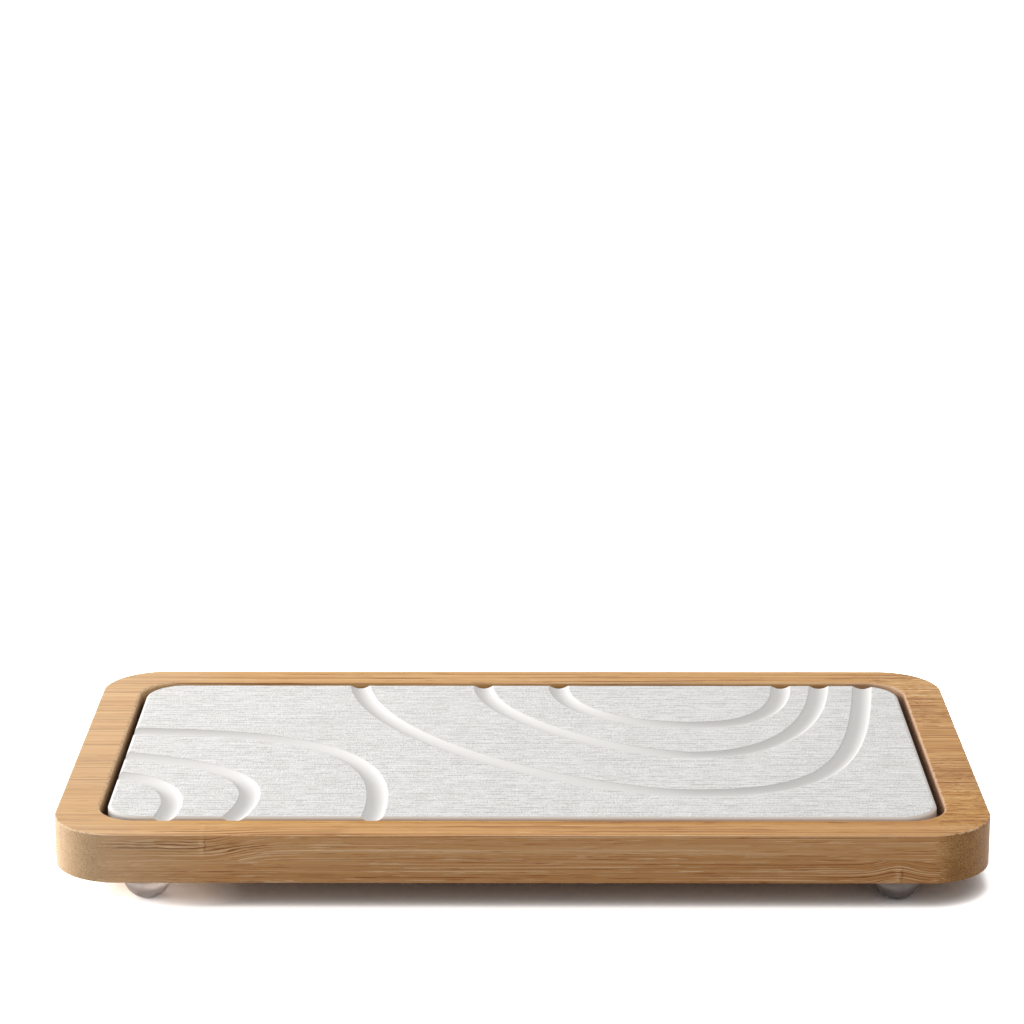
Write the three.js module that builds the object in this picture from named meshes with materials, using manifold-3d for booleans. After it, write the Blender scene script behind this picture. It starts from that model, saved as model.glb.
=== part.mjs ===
// Vanity tray: a bamboo tray glued up from two plies of strips, a carved stone plate that lies loose
// in its pocket, and four clear dome feet stuck on underneath.
// Millimetres, +Z up, +X along the tray. The origin is on the counter below the middle of the tray.
import * as THREE from 'three';
import { mergeVertices } from 'three/addons/utils/BufferGeometryUtils.js';
import Module from 'manifold-3d';

const wasm = await Module();
wasm.setup();

// Bamboo tray
const TRAY_LENGTH = 250;
const TRAY_WIDTH = 140;
const TRAY_CORNER = 18;
const TRAY_EDGE = 0.4; // round of the outer edges, above and below
const RAIL = 11.6; // rim between the pocket and the outside
const POCKET_CORNER = 11;
const POCKET_EASE = 0.8; // chamfer round the pocket's mouth
const FRAME_PLY = 7; // upper ply, which the pocket cuts right through
const BASE_PLY = 6.4; // lower ply, whose face is the pocket's floor
const STRIP_WIDTH = 26.6;
const FRAME_SEAM = 44.6; // rearmost seam of the upper ply
const BASE_SEAM = FRAME_SEAM + STRIP_WIDTH / 2; // the lower ply's seams fall between the upper ones
const SEAMS_PER_PLY = 5;

// Stone plate
const PLATE_GAP = 1.85; // all round, so that a finger nail can lift the plate
const PLATE_CORNER = 11;
const PLATE_EDGE = 1; // round of the plate's edges
const GROOVE_DEPTH = 1.2;
const GROOVE_BALL = 4; // radius of the ball-nosed cutter that carves the grooves
const GROOVE_RUN_OUT = 5; // the cutter leaves the plate by this much

// Feet
const FOOT_RADIUS = 6.35;
const FOOT_HEIGHT = 6.1; // a little less than the radius, which leaves a flat tip to stand on
const FOOT_X = 99.5;
const FOOT_Y = 62.6;
const ADHESIVE_RADIUS = 6;
const ADHESIVE_THICKNESS = 0.3;

// Levels
const UNDERSIDE = FOOT_HEIGHT + ADHESIVE_THICKNESS;
const POCKET_FLOOR = UNDERSIDE + BASE_PLY;
const RIM = POCKET_FLOOR + FRAME_PLY;

// How far a cutting block reaches past what it cuts
const CLEAR = 2;

// Smoothness of the round forms
const CORNER_STEPS = 6;
const EDGE_STEPS = 3;
const GROOVE_STEP = 6;
const GROOVE_SECTION_STEPS = 5;
const DOME_STEPS = 5;
const FOOT_SIDES = 28;

const POCKET_LENGTH = TRAY_LENGTH - 2 * RAIL;
const POCKET_WIDTH = TRAY_WIDTH - 2 * RAIL;
const PLATE_LENGTH = POCKET_LENGTH - 2 * PLATE_GAP;
const PLATE_WIDTH = POCKET_WIDTH - 2 * PLATE_GAP;

// Carved lines of the plate, seen from above. Each is a chain of cubic curves: end point, two pulls,
// end point, and so on.
const LEFT = -PLATE_LENGTH / 2;
const BACK = PLATE_WIDTH / 2;
const FRONT = -BACK;
const CARVED_LINES = [
  [[-48.5, BACK], [-43, 2], [19, -37.5], [47, -37.5], [86.5, -37.5], [94.5, -12.5], [102, BACK]],
  [[-11.5, BACK], [-12, 24], [29.5, -6.5], [48, -6.5], [70, -6.5], [85, 14.5], [89, BACK]],
  [[11, BACK], [10.5, 30], [33, 19.5], [49, 19.5], [63.5, 19.5], [76, 27], [77.5, BACK]],
  [[LEFT, 14], [-84, 11.5], [-32, 11.5], [-40, FRONT]],
  [[LEFT, -7], [-88, -13.5], [-65.5, -24], [-77, FRONT]],
  [[LEFT, -23.5], [-101, -26], [-91, -36], [-95.5, FRONT]],
];

const STONE = new THREE.MeshStandardMaterial({ color: '#e6e5e2', roughness: 0.95, metalness: 0 });
const SILICONE = new THREE.MeshStandardMaterial({ color: '#c9c4c0', roughness: 0.2, metalness: 0 });
const ADHESIVE = new THREE.MeshStandardMaterial({ color: '#dcd8d0', roughness: 0.5, metalness: 0 });
const BAMBOO_TONES = ['#dfb27b', '#d6a46b', '#e3ba85'];

function bamboo(strip) {
  const color = BAMBOO_TONES[strip % BAMBOO_TONES.length];
  return new THREE.MeshStandardMaterial({ color, roughness: 0.6, metalness: 0 });
}

// A closed geometry as a solid that can be cut and joined.
function solidOf(geometry) {
  geometry.deleteAttribute('normal');
  geometry.deleteAttribute('uv');
  const welded = mergeVertices(geometry);
  const mesh = new wasm.Mesh({
    numProp: 3,
    vertProperties: welded.attributes.position.array,
    triVerts: new Uint32Array(welded.index.array),
  });
  return new wasm.Manifold(mesh);
}

function geometryOf(solid) {
  const { vertProperties, triVerts } = solid.getMesh();
  const geometry = new THREE.BufferGeometry();
  geometry.setAttribute('position', new THREE.BufferAttribute(vertProperties, 3));
  geometry.setIndex(new THREE.BufferAttribute(triVerts, 1));
  geometry.computeVertexNormals();
  return geometry;
}

function roundedRectangle(length, width, corner) {
  const x = length / 2 - corner;
  const y = width / 2 - corner;
  const outline = new THREE.Shape();
  outline.absarc(x, y, corner, 0, Math.PI / 2);
  outline.absarc(-x, y, corner, Math.PI / 2, Math.PI);
  outline.absarc(-x, -y, corner, Math.PI, 1.5 * Math.PI);
  outline.absarc(x, -y, corner, 1.5 * Math.PI, 2 * Math.PI);
  return outline;
}

// A block of rounded-rectangle plan whose edges are rounded, or chamfered in one step.
function roundedBlock(length, width, corner, bottom, top, edge, edgeSteps) {
  const block = new THREE.ExtrudeGeometry(roundedRectangle(length, width, corner), {
    depth: top - bottom - 2 * edge,
    bevelEnabled: edge > 0,
    bevelThickness: edge,
    bevelSize: edge,
    bevelOffset: -edge,
    bevelSegments: edgeSteps,
    curveSegments: CORNER_STEPS,
  });
  return solidOf(block.translate(0, 0, bottom + edge));
}

function slab(low, high) {
  const size = new THREE.Vector3().subVectors(high, low);
  const middle = new THREE.Vector3().addVectors(low, high).multiplyScalar(0.5);
  const box = new THREE.BoxGeometry(size.x, size.y, size.z);
  return solidOf(box.translate(middle.x, middle.y, middle.z));
}

function solidBoard() {
  return roundedBlock(TRAY_LENGTH, TRAY_WIDTH, TRAY_CORNER, UNDERSIDE, RIM, TRAY_EDGE, EDGE_STEPS);
}

// The board with the pocket's outline cut right through it, and its mouth chamfered.
function piercedBoard() {
  const above = RIM + CLEAR;
  const below = UNDERSIDE - CLEAR;
  const pocket = roundedBlock(POCKET_LENGTH, POCKET_WIDTH, POCKET_CORNER, below, above, 0, 0);
  const mouth = roundedBlock(
    POCKET_LENGTH + 2 * POCKET_EASE, POCKET_WIDTH + 2 * POCKET_EASE, POCKET_CORNER + POCKET_EASE,
    RIM - POCKET_EASE, above, POCKET_EASE, 1,
  );
  return solidBoard().subtract(pocket).subtract(mouth);
}

// Bounds along Y of the strips of one ply, from the back of the tray to its front.
function stripBounds(firstSeam) {
  const bounds = [TRAY_WIDTH / 2 + CLEAR];
  for (let seam = 0; seam < SEAMS_PER_PLY; seam += 1) {
    bounds.push(firstSeam - seam * STRIP_WIDTH);
  }
  bounds.push(-TRAY_WIDTH / 2 - CLEAR);
  return bounds;
}

function cutOut(board, left, right, front, back, bottom, top) {
  const low = new THREE.Vector3(left, front, bottom);
  const high = new THREE.Vector3(right, back, top);
  return geometryOf(board.intersect(slab(low, high)));
}

function addPiece(group, name, geometry, material) {
  const mesh = new THREE.Mesh(geometry, material);
  mesh.name = name;
  group.add(mesh);
  return mesh;
}

// Upper ply. Strips that the pocket cuts in two leave a short block in each side rail.
function addFramePly(group) {
  const board = piercedBoard();
  const bounds = stripBounds(FRAME_SEAM);
  for (let strip = 0; strip < bounds.length - 1; strip += 1) {
    const back = bounds[strip];
    const front = bounds[strip + 1];
    const cutBlock = (left, right) => cutOut(board, left, right, front, back, POCKET_FLOOR, RIM + CLEAR);
    const name = `frame_strip_${strip + 1}`;
    if (back < POCKET_WIDTH / 2 && front > -POCKET_WIDTH / 2) {
      addPiece(group, `${name}_left`, cutBlock(-TRAY_LENGTH, 0), bamboo(strip));
      addPiece(group, `${name}_right`, cutBlock(0, TRAY_LENGTH), bamboo(strip));
    } else {
      addPiece(group, name, cutBlock(-TRAY_LENGTH, TRAY_LENGTH), bamboo(strip));
    }
  }
}

function addBasePly(group) {
  const board = solidBoard();
  const bounds = stripBounds(BASE_SEAM);
  for (let strip = 0; strip < bounds.length - 1; strip += 1) {
    const piece = cutOut(
      board, -TRAY_LENGTH, TRAY_LENGTH, bounds[strip + 1], bounds[strip], UNDERSIDE - CLEAR, POCKET_FLOOR,
    );
    addPiece(group, `base_strip_${strip + 1}`, piece, bamboo(strip + 1));
  }
}

// The centre line of one groove at the plate's face, run out straight past the plate's edges.
function carvedLine(points) {
  const line = points.map(([x, y]) => new THREE.Vector3(x, y, RIM));
  const runOut = (end, pull) => new THREE.Vector3().subVectors(end, pull).setLength(GROOVE_RUN_OUT).add(end);
  const path = new THREE.CurvePath();
  path.add(new THREE.LineCurve3(runOut(line[0], line[1]), line[0]));
  for (let at = 0; at + 3 < line.length; at += 3) {
    path.add(new THREE.CubicBezierCurve3(line[at], line[at + 1], line[at + 2], line[at + 3]));
  }
  path.add(new THREE.LineCurve3(line.at(-1), runOut(line.at(-1), line.at(-2))));
  return path;
}

// What the ball-nosed cutter takes away along one line. In the section, x points down into the plate:
// an arc of the ball, closed by a straight side above the plate's face.
function grooveCut(points) {
  const path = carvedLine(points);
  const section = new THREE.Shape();
  section.absarc(GROOVE_DEPTH - GROOVE_BALL, 0, GROOVE_BALL, -Math.PI / 3, Math.PI / 3);
  const cut = new THREE.ExtrudeGeometry(section, {
    steps: Math.round(path.getLength() / GROOVE_STEP),
    curveSegments: GROOVE_SECTION_STEPS,
    extrudePath: path,
  });
  return solidOf(cut);
}

function stonePlate() {
  let plate = roundedBlock(
    PLATE_LENGTH, PLATE_WIDTH, PLATE_CORNER, POCKET_FLOOR, RIM, PLATE_EDGE, EDGE_STEPS,
  );
  for (const points of CARVED_LINES) {
    plate = plate.subtract(grooveCut(points));
  }
  return geometryOf(plate);
}

// A dome that stands on its flat tip, turned from a quarter circle.
function domeFoot() {
  const tip = -Math.asin(FOOT_HEIGHT / FOOT_RADIUS);
  const profile = new THREE.Path();
  profile.moveTo(0, 0);
  profile.lineTo(FOOT_RADIUS * Math.cos(tip), 0);
  profile.absarc(0, FOOT_HEIGHT, FOOT_RADIUS, tip, 0);
  profile.lineTo(0, FOOT_HEIGHT);
  return new THREE.LatheGeometry(profile.getPoints(DOME_STEPS), FOOT_SIDES).rotateX(Math.PI / 2);
}

function adhesiveDisc() {
  const disc = new THREE.CylinderGeometry(ADHESIVE_RADIUS, ADHESIVE_RADIUS, ADHESIVE_THICKNESS, FOOT_SIDES);
  return disc.rotateX(Math.PI / 2);
}

function addFeet(group) {
  for (const [depthWord, y] of [['front', -FOOT_Y], ['back', FOOT_Y]]) {
    for (const [sideWord, x] of [['left', -FOOT_X], ['right', FOOT_X]]) {
      const place = `${depthWord}_${sideWord}`;
      addPiece(group, `foot_${place}`, domeFoot(), SILICONE).position.set(x, y, 0);
      const adhesive = addPiece(group, `adhesive_${place}`, adhesiveDisc(), ADHESIVE);
      adhesive.position.set(x, y, FOOT_HEIGHT + ADHESIVE_THICKNESS / 2);
    }
  }
}

const tray = new THREE.Group();
addFramePly(tray);
addBasePly(tray);
addPiece(tray, 'stone_plate', stonePlate(), STONE);
addFeet(tray);

export default tray;
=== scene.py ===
import math
from collections import namedtuple

import bmesh
import bpy
import numpy as np
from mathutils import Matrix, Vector
from mathutils.geometry import delaunay_2d_cdt


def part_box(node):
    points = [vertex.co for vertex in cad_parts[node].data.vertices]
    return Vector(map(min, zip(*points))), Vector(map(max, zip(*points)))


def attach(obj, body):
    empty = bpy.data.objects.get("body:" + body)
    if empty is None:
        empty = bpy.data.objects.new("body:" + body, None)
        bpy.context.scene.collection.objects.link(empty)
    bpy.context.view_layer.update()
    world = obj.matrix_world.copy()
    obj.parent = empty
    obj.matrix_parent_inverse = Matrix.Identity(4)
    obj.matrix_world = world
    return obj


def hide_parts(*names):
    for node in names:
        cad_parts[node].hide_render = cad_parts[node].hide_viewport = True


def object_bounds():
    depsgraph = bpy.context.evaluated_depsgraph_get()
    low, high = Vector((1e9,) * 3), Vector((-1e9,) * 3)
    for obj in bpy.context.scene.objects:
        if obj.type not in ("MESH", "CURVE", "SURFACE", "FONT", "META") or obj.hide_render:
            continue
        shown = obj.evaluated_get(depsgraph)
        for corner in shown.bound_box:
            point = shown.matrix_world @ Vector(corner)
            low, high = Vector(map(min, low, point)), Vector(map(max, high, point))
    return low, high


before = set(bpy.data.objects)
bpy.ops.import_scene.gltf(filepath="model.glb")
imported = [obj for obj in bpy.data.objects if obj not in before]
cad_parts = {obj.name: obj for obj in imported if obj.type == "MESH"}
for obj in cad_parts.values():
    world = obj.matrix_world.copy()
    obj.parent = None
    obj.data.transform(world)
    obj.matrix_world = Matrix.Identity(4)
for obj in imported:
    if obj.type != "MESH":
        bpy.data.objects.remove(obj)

cad_low, cad_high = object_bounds()
MM = 0.001

# Sizes that the frame gives
RIM = cad_high.z
HALF_LENGTH = cad_high.x
HALF_WIDTH = cad_high.y
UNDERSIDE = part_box("base_strip_1")[0].z
PLATE_LOW, PLATE_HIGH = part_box("stone_plate")
POCKET_FLOOR = PLATE_LOW.z
RAIL = HALF_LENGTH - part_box("frame_strip_3_right")[0].x

# Rounds of the bamboo tray, and the waves of its uneven edge: turn per millimetre and start
TRAY_CORNER = 18 * MM
TRAY_EDGE = 0.4 * MM
EDGE_FRAY = 0.3
FRAY_WAVES = [(2.1, 0), (3.7, 1.3), (6.3, 0.4)]
POCKET_CORNER = 11 * MM
POCKET_EASE = 0.8 * MM

# Rounds and carving of the stone plate
PLATE_CORNER = 11 * MM
PLATE_EDGE = 1.0 * MM
GROOVE_DEPTH = 1.2 * MM
GROOVE_BALL = 4 * MM
GROOVE_LIP = 0.07 * MM
GROOVE_RUN_OUT = 5 * MM
LEFT = PLATE_LOW.x / MM
FRONT = PLATE_LOW.y / MM
BACK = PLATE_HIGH.y / MM

# Carved lines of the plate in millimetres: end point, two pulls, end point, and so on
CARVED_LINES = [
    [(-48.5, BACK), (-43, 2), (19, -37.5), (47, -37.5), (86.5, -37.5), (94.5, -12.5), (102, BACK)],
    [(-11.5, BACK), (-12, 24), (29.5, -6.5), (48, -6.5), (70, -6.5), (85, 14.5), (89, BACK)],
    [(11, BACK), (10.5, 30), (33, 19.5), (49, 19.5), (63.5, 19.5), (76, 27), (77.5, BACK)],
    [(LEFT, 14), (-84, 11.5), (-32, 11.5), (-40, FRONT)],
    [(LEFT, -7), (-88, -13.5), (-65.5, -24), (-77, FRONT)],
    [(LEFT, -23.5), (-101, -26), (-91, -36), (-95.5, FRONT)],
]

# Outlines with round corners: half length, half width and corner
TRAY_OUTLINE = (HALF_LENGTH, HALF_WIDTH, TRAY_CORNER)
POCKET_OUTLINE = (HALF_LENGTH - RAIL, HALF_WIDTH - RAIL, POCKET_CORNER)
PLATE_OUTLINE = (PLATE_HIGH.x, PLATE_HIGH.y, PLATE_CORNER)

# Rounds of the feet and their adhesive
FOOT_RIM = 0.15 * MM
ADHESIVE_RIM = 0.1 * MM

# Fineness of the surfaces
CORNER_STEPS = 96
SIDE_STEPS = 160
EDGE_STEPS = 8
SUPPORT = 0.15 * MM
EDGE_SUPPORT = 2 * TRAY_EDGE
PLATE_SUPPORT = PLATE_EDGE + 2 * SUPPORT
CURVE_STEPS = 400
GROOVE_STEP = 0.9 * MM
GROOVE_END_STEP = 0.25 * MM
GROOVE_END = 12 * MM
BALL_STEPS = 8
LIP_OFFSETS = SUPPORT * np.array([-0.8, 0, 0.8, 2.4])
STRAND_INSET = 0.03 * MM
TURNED_SIDES = 96
DOME_STEPS = 28
SMOOTH_ANGLE = math.radians(35)

# Tolerances: of a saw cut and a weld in metres, of a join in millimetres, and decimal places of an inset
CUT_TOLERANCE = 1e-7
WELD_TOLERANCE = 1e-6
JOIN_TOLERANCE = 1e-5
INSET_PLACES = 7


def shown(name, mesh):
    """A mesh as an object of the scene, smooth where its faces meet at a low angle."""
    mesh.shade_smooth()
    mesh.set_sharp_from_angle(angle=SMOOTH_ANGLE)
    piece = bpy.data.objects.new(name, mesh)
    bpy.context.scene.collection.objects.link(piece)
    return piece


def new_mesh(name, points, faces):
    """A mesh of the given points, in metres, and faces."""
    mesh = bpy.data.meshes.new(name)
    mesh.from_pydata(points, [], faces)
    return mesh


def stand_in(piece, node, body, finish):
    """The piece takes the place of one node, moves with its body and wears its finish."""
    piece.data.materials.append(finish)
    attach(piece, body)
    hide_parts(node)


def grid_faces(rows, columns, closed):
    """Quads between neighbouring rows of points that each run once round, and from the last row to the
    first where the section is closed."""
    row = np.arange(rows if closed else rows - 1)[:, None]
    point = np.arange(columns)[None, :]
    here = row * columns
    above = (row + 1) % rows * columns
    beside = (point + 1) % columns
    corners = [here + point, here + beside, above + beside, above + point]
    return np.stack(np.broadcast_arrays(*corners), axis=-1).reshape(-1, 4).tolist()


def capped_faces(rows, columns):
    """Quads of an open stack of rows, with one face closing the lowest row and one the highest."""
    first = list(range(columns))
    last = list(range((rows - 1) * columns, rows * columns))
    return [first[::-1]] + grid_faces(rows, columns, False) + [last]


def rounded_outline(half_length, half_width, corner):
    """Points and outward normals round a rectangle with round corners, anticlockwise from its right side:
    at each corner a quarter circle about the corner's centre, then a straight side in even steps."""
    angle = np.arange(4)[:, None] * np.pi / 2 + np.linspace(0, np.pi / 2, CORNER_STEPS + 1)
    normal = np.stack([np.cos(angle), np.sin(angle)], axis=-1)
    quadrant = np.array([(1, 1), (-1, 1), (-1, -1), (1, -1)])[:, None, :]
    arcs = quadrant * (half_length - corner, half_width - corner) + corner * normal
    share = np.linspace(0, 1, SIDE_STEPS + 1)[None, 1:-1, None]
    end = arcs[:, -1:]
    start = np.roll(arcs, -1, axis=0)[:, :1]
    sides = end + (start - end) * share
    side_normal = np.broadcast_to(normal[:, -1:], sides.shape)
    points = np.concatenate([arcs, sides], axis=1).reshape(-1, 2)
    return points, np.concatenate([normal, side_normal], axis=1).reshape(-1, 2)


def carried(outline, inset, height):
    """Rows of points: the outline moved inwards along its normals by each row's inset, at its height."""
    points, normal = outline
    inset = np.broadcast_to(inset, (len(inset), len(points)))
    height = np.broadcast_to(height, inset.shape)
    plan = points - normal * inset[..., None]
    return np.concatenate([plan, height[..., None]], axis=-1)


def column(*values):
    """One value for each row of points."""
    return np.array(values)[:, None]


def quarter_turn(steps):
    """Angles of a quarter turn in even steps, one for each row of points."""
    return np.linspace(0, np.pi / 2, steps + 1)[:, None]


def frayed_edge(outline):
    """Radius of the tray's edge round at each point of its outline: even along the grain, and uneven where
    the edge cuts the fibres' ends, by waves that don't repeat together."""
    points, normal = outline
    step = np.linalg.norm(np.diff(points, axis=0, prepend=points[-1:]), axis=1)
    along = np.cumsum(step) / MM
    waves = sum(np.sin(along * turn + start) for turn, start in FRAY_WAVES)
    return TRAY_EDGE * (1 + EDGE_FRAY * normal[:, 0] ** 2 * waves / len(FRAY_WAVES))


def frame_ply():
    """The upper ply as one ring. Its section runs up the outer wall, round the edge by a quarter circle,
    across the rim, round the pocket's mouth, down the pocket's wall and back along the glue plane, and is
    carried round the tray's outline on one side and the pocket's outline on the other."""
    tray = rounded_outline(*TRAY_OUTLINE)
    pocket = rounded_outline(*POCKET_OUTLINE)
    turn = quarter_turn(EDGE_STEPS)
    edge = frayed_edge(tray)
    wall = carried(tray, column(0, 0), column(POCKET_FLOOR, RIM - EDGE_SUPPORT))
    edge_round = carried(tray, edge * (1 - np.cos(turn)), RIM - edge * (1 - np.sin(turn)))
    rim = carried(tray, column(EDGE_SUPPORT), column(RIM))
    mouth_rim = carried(pocket, column(-POCKET_EASE - SUPPORT), column(RIM))
    mouth = carried(pocket, POCKET_EASE * (np.sin(turn) - 1), RIM - POCKET_EASE * (1 - np.cos(turn)))
    pocket_wall = carried(pocket, column(0, 0), column(RIM - POCKET_EASE - SUPPORT, POCKET_FLOOR))
    rows = np.concatenate([wall, edge_round, rim, mouth_rim, mouth, pocket_wall])
    return rows.reshape(-1, 3), grid_faces(len(rows), rows.shape[1], True)


def base_ply():
    """The lower ply as one board: a stack of outlines up its rounded lower edge and its wall, closed by a
    flat face below and another at the pocket's floor."""
    tray = rounded_outline(*TRAY_OUTLINE)
    turn = quarter_turn(EDGE_STEPS)
    edge = frayed_edge(tray)
    foot = carried(tray, column(EDGE_SUPPORT), column(UNDERSIDE))
    edge_round = carried(tray, edge * (1 - np.sin(turn)), UNDERSIDE + edge * (1 - np.cos(turn)))
    wall = carried(tray, column(0, 0), column(UNDERSIDE + EDGE_SUPPORT, POCKET_FLOOR))
    rows = np.concatenate([foot, edge_round, wall])
    return rows.reshape(-1, 3), capped_faces(len(rows), rows.shape[1])


def is_seam(side):
    """Whether a strip's side lies clear of the tray's own front and back."""
    return abs(side) < HALF_WIDTH - MM


def cut_away(solid, place, outward):
    """Takes off what lies beyond a plane and closes the cut with flat faces."""
    parts = solid.verts[:] + solid.edges[:] + solid.faces[:]
    cut = bmesh.ops.bisect_plane(
        solid, geom=parts, dist=CUT_TOLERANCE, plane_co=place, plane_no=outward, clear_outer=True
    )
    edges = [part for part in cut["geom_cut"] if isinstance(part, bmesh.types.BMEdge)]
    bmesh.ops.holes_fill(solid, edges=edges)


def sawn_strip(ply, node):
    """The stretch of a ply that lies in one node's box: cut at the strip's seams and, for a block of one side
    rail, at the tray's middle."""
    low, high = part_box(node)
    mesh = new_mesh("bamboo_" + node, *ply)
    solid = bmesh.new()
    solid.from_mesh(mesh)
    if is_seam(high.y):
        cut_away(solid, (0, high.y, 0), (0, 1, 0))
    if is_seam(low.y):
        cut_away(solid, (0, low.y, 0), (0, -1, 0))
    if node.endswith("_left"):
        cut_away(solid, (0, 0, 0), (1, 0, 0))
    if node.endswith("_right"):
        cut_away(solid, (0, 0, 0), (-1, 0, 0))
    solid.to_mesh(mesh)
    solid.free()
    return shown(mesh.name, mesh)


def run_out(end, pull):
    """A point straight past a carved line's end, away from the pull beside it."""
    ahead = end - pull
    return end + ahead / np.linalg.norm(ahead) * GROOVE_RUN_OUT


def carved_line(points):
    """Centre points and normals of one groove. Each cubic curve is the sum of its four points with the
    weights (1-t)^3, 3t(1-t)^2, 3t^2(1-t) and t^3; the line runs out straight past both ends, and is
    stepped evenly along its length, finer near the ends."""
    pull = np.array(points) * MM
    t = np.linspace(0, 1, CURVE_STEPS)[1:, None]
    weights = [(1 - t) ** 3, 3 * t * (1 - t) ** 2, 3 * t ** 2 * (1 - t), t ** 3]
    cubics = [sum(w * p for w, p in zip(weights, pull[at:at + 4])) for at in range(0, len(pull) - 1, 3)]
    lead_in = run_out(pull[:1], pull[1:2])
    lead_out = run_out(pull[-1:], pull[-2:-1])
    path = np.concatenate([lead_in, pull[:1], *cubics, lead_out])
    length = np.concatenate([[0], np.cumsum(np.linalg.norm(np.diff(path, axis=0), axis=1))])
    total = length[-1]
    stations = np.concatenate([
        np.arange(0, GROOVE_END, GROOVE_END_STEP),
        np.arange(GROOVE_END, total - GROOVE_END, GROOVE_STEP),
        np.arange(total - GROOVE_END, total, GROOVE_END_STEP),
    ])
    centre = np.stack([np.interp(stations, length, path[:, axis]) for axis in (0, 1)], axis=1)
    ahead = np.gradient(centre, axis=0)
    ahead /= np.linalg.norm(ahead, axis=1, keepdims=True)
    return centre, np.stack([-ahead[:, 1], ahead[:, 0]], axis=1)


def plate_inset(plan):
    """How far inside the plate's outline each point lies: the distance to a rectangle with round corners."""
    straight = np.array([PLATE_HIGH.x, PLATE_HIGH.y]) - PLATE_CORNER
    past = np.abs(plan) - straight
    outside = np.linalg.norm(np.maximum(past, 0), axis=-1)
    return PLATE_CORNER - outside - np.minimum(past.max(axis=-1), 0)


def edge_drop(inset):
    """Fall of the plate's face near its edge: a quarter circle of the edge's radius."""
    short = PLATE_EDGE - np.clip(np.round(inset, INSET_PLACES), 0, PLATE_EDGE)
    return PLATE_EDGE - np.sqrt(PLATE_EDGE ** 2 - short ** 2)


def groove_half_width():
    """Half the width that the ball cutter opens at the plate's face, from its radius and the depth."""
    return math.sqrt(GROOVE_BALL ** 2 - (GROOVE_BALL - GROOVE_DEPTH) ** 2)


def groove_drop(off):
    """Depth of a groove at a distance from its centre line: the ball cutter's circle, carried on straight at
    the lip's slope past the lip, and eased there as half of the sum of that depth and its own hypotenuse with
    a small lip height."""
    half = groove_half_width()
    slope = half / (GROOVE_BALL - GROOVE_DEPTH)
    ball = np.sqrt(GROOVE_BALL ** 2 - np.minimum(off, half) ** 2) - (GROOVE_BALL - GROOVE_DEPTH)
    depth = ball - slope * np.maximum(off - half, 0)
    return (depth + np.hypot(depth, GROOVE_LIP)) / 2


def distance_to_line(plan, line):
    """Least distance of each plan point to the straight pieces between the line's points."""
    start = line[:-1]
    run = line[1:] - start
    to_point = plan[:, None, :] - start[None]
    share = np.clip((to_point * run).sum(-1) / (run * run).sum(-1), 0, 1)
    return np.linalg.norm(to_point - share[..., None] * run, axis=-1).min(axis=1)


def carved_height(plan, lines):
    """Height of the plate's face at plan points: the rim less the deeper of the edge's fall and the nearest
    groove's depth, measured to every other point of its line."""
    off = np.min([distance_to_line(plan, centre[::2]) for centre, normal in lines], axis=0)
    return RIM - np.maximum(edge_drop(plate_inset(plan)), groove_drop(off))


def face_loops(outline):
    """Loops of plan points inside the plate's outline, at even turns of its edge's round and just past it."""
    insets = np.append(PLATE_EDGE * (1 - np.cos(quarter_turn(EDGE_STEPS))), PLATE_SUPPORT)
    return carried(outline, insets[:, None], column(0))[..., :2]


def groove_strands(lines):
    """Plan lines beside each groove's centre, at even turns of the ball cutter and close about both lips."""
    half = groove_half_width()
    ball_offsets = half * np.sin(np.linspace(0, np.pi / 2, BALL_STEPS)[:-1])
    side = np.concatenate([ball_offsets, half + LIP_OFFSETS])
    offsets = np.concatenate([-side[:0:-1], side])
    return [centre + normal * offsets[:, None, None] for centre, normal in lines]


def carved_face(outline, lines):
    """The plate's upper face: plan points on loops inside its outline and on lines beside each groove, joined
    into triangles that keep those lines, each at its carved height."""
    points = []
    joins = []
    count = 0
    for loop in face_loops(outline):
        index = count + np.arange(len(loop))
        points.append(loop)
        joins.append(np.stack([index, np.roll(index, -1)], axis=1))
        count += len(loop)
    for strand in groove_strands(lines):
        inside = plate_inset(strand) > STRAND_INSET
        index = np.full(inside.shape, -1)
        index[inside] = count + np.arange(inside.sum())
        both = inside[:, 1:] & inside[:, :-1]
        points.append(strand[inside])
        joins.append(np.stack([index[:, :-1][both], index[:, 1:][both]], axis=1))
        count += inside.sum()
    plan_in = (np.concatenate(points) / MM).tolist()
    joined = delaunay_2d_cdt(plan_in, np.concatenate(joins).tolist(), [], 0, JOIN_TOLERANCE)
    plan = np.array([point[:] for point in joined[0]]) * MM
    return np.column_stack([plan, carved_height(plan, lines)]), joined[2]


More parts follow.
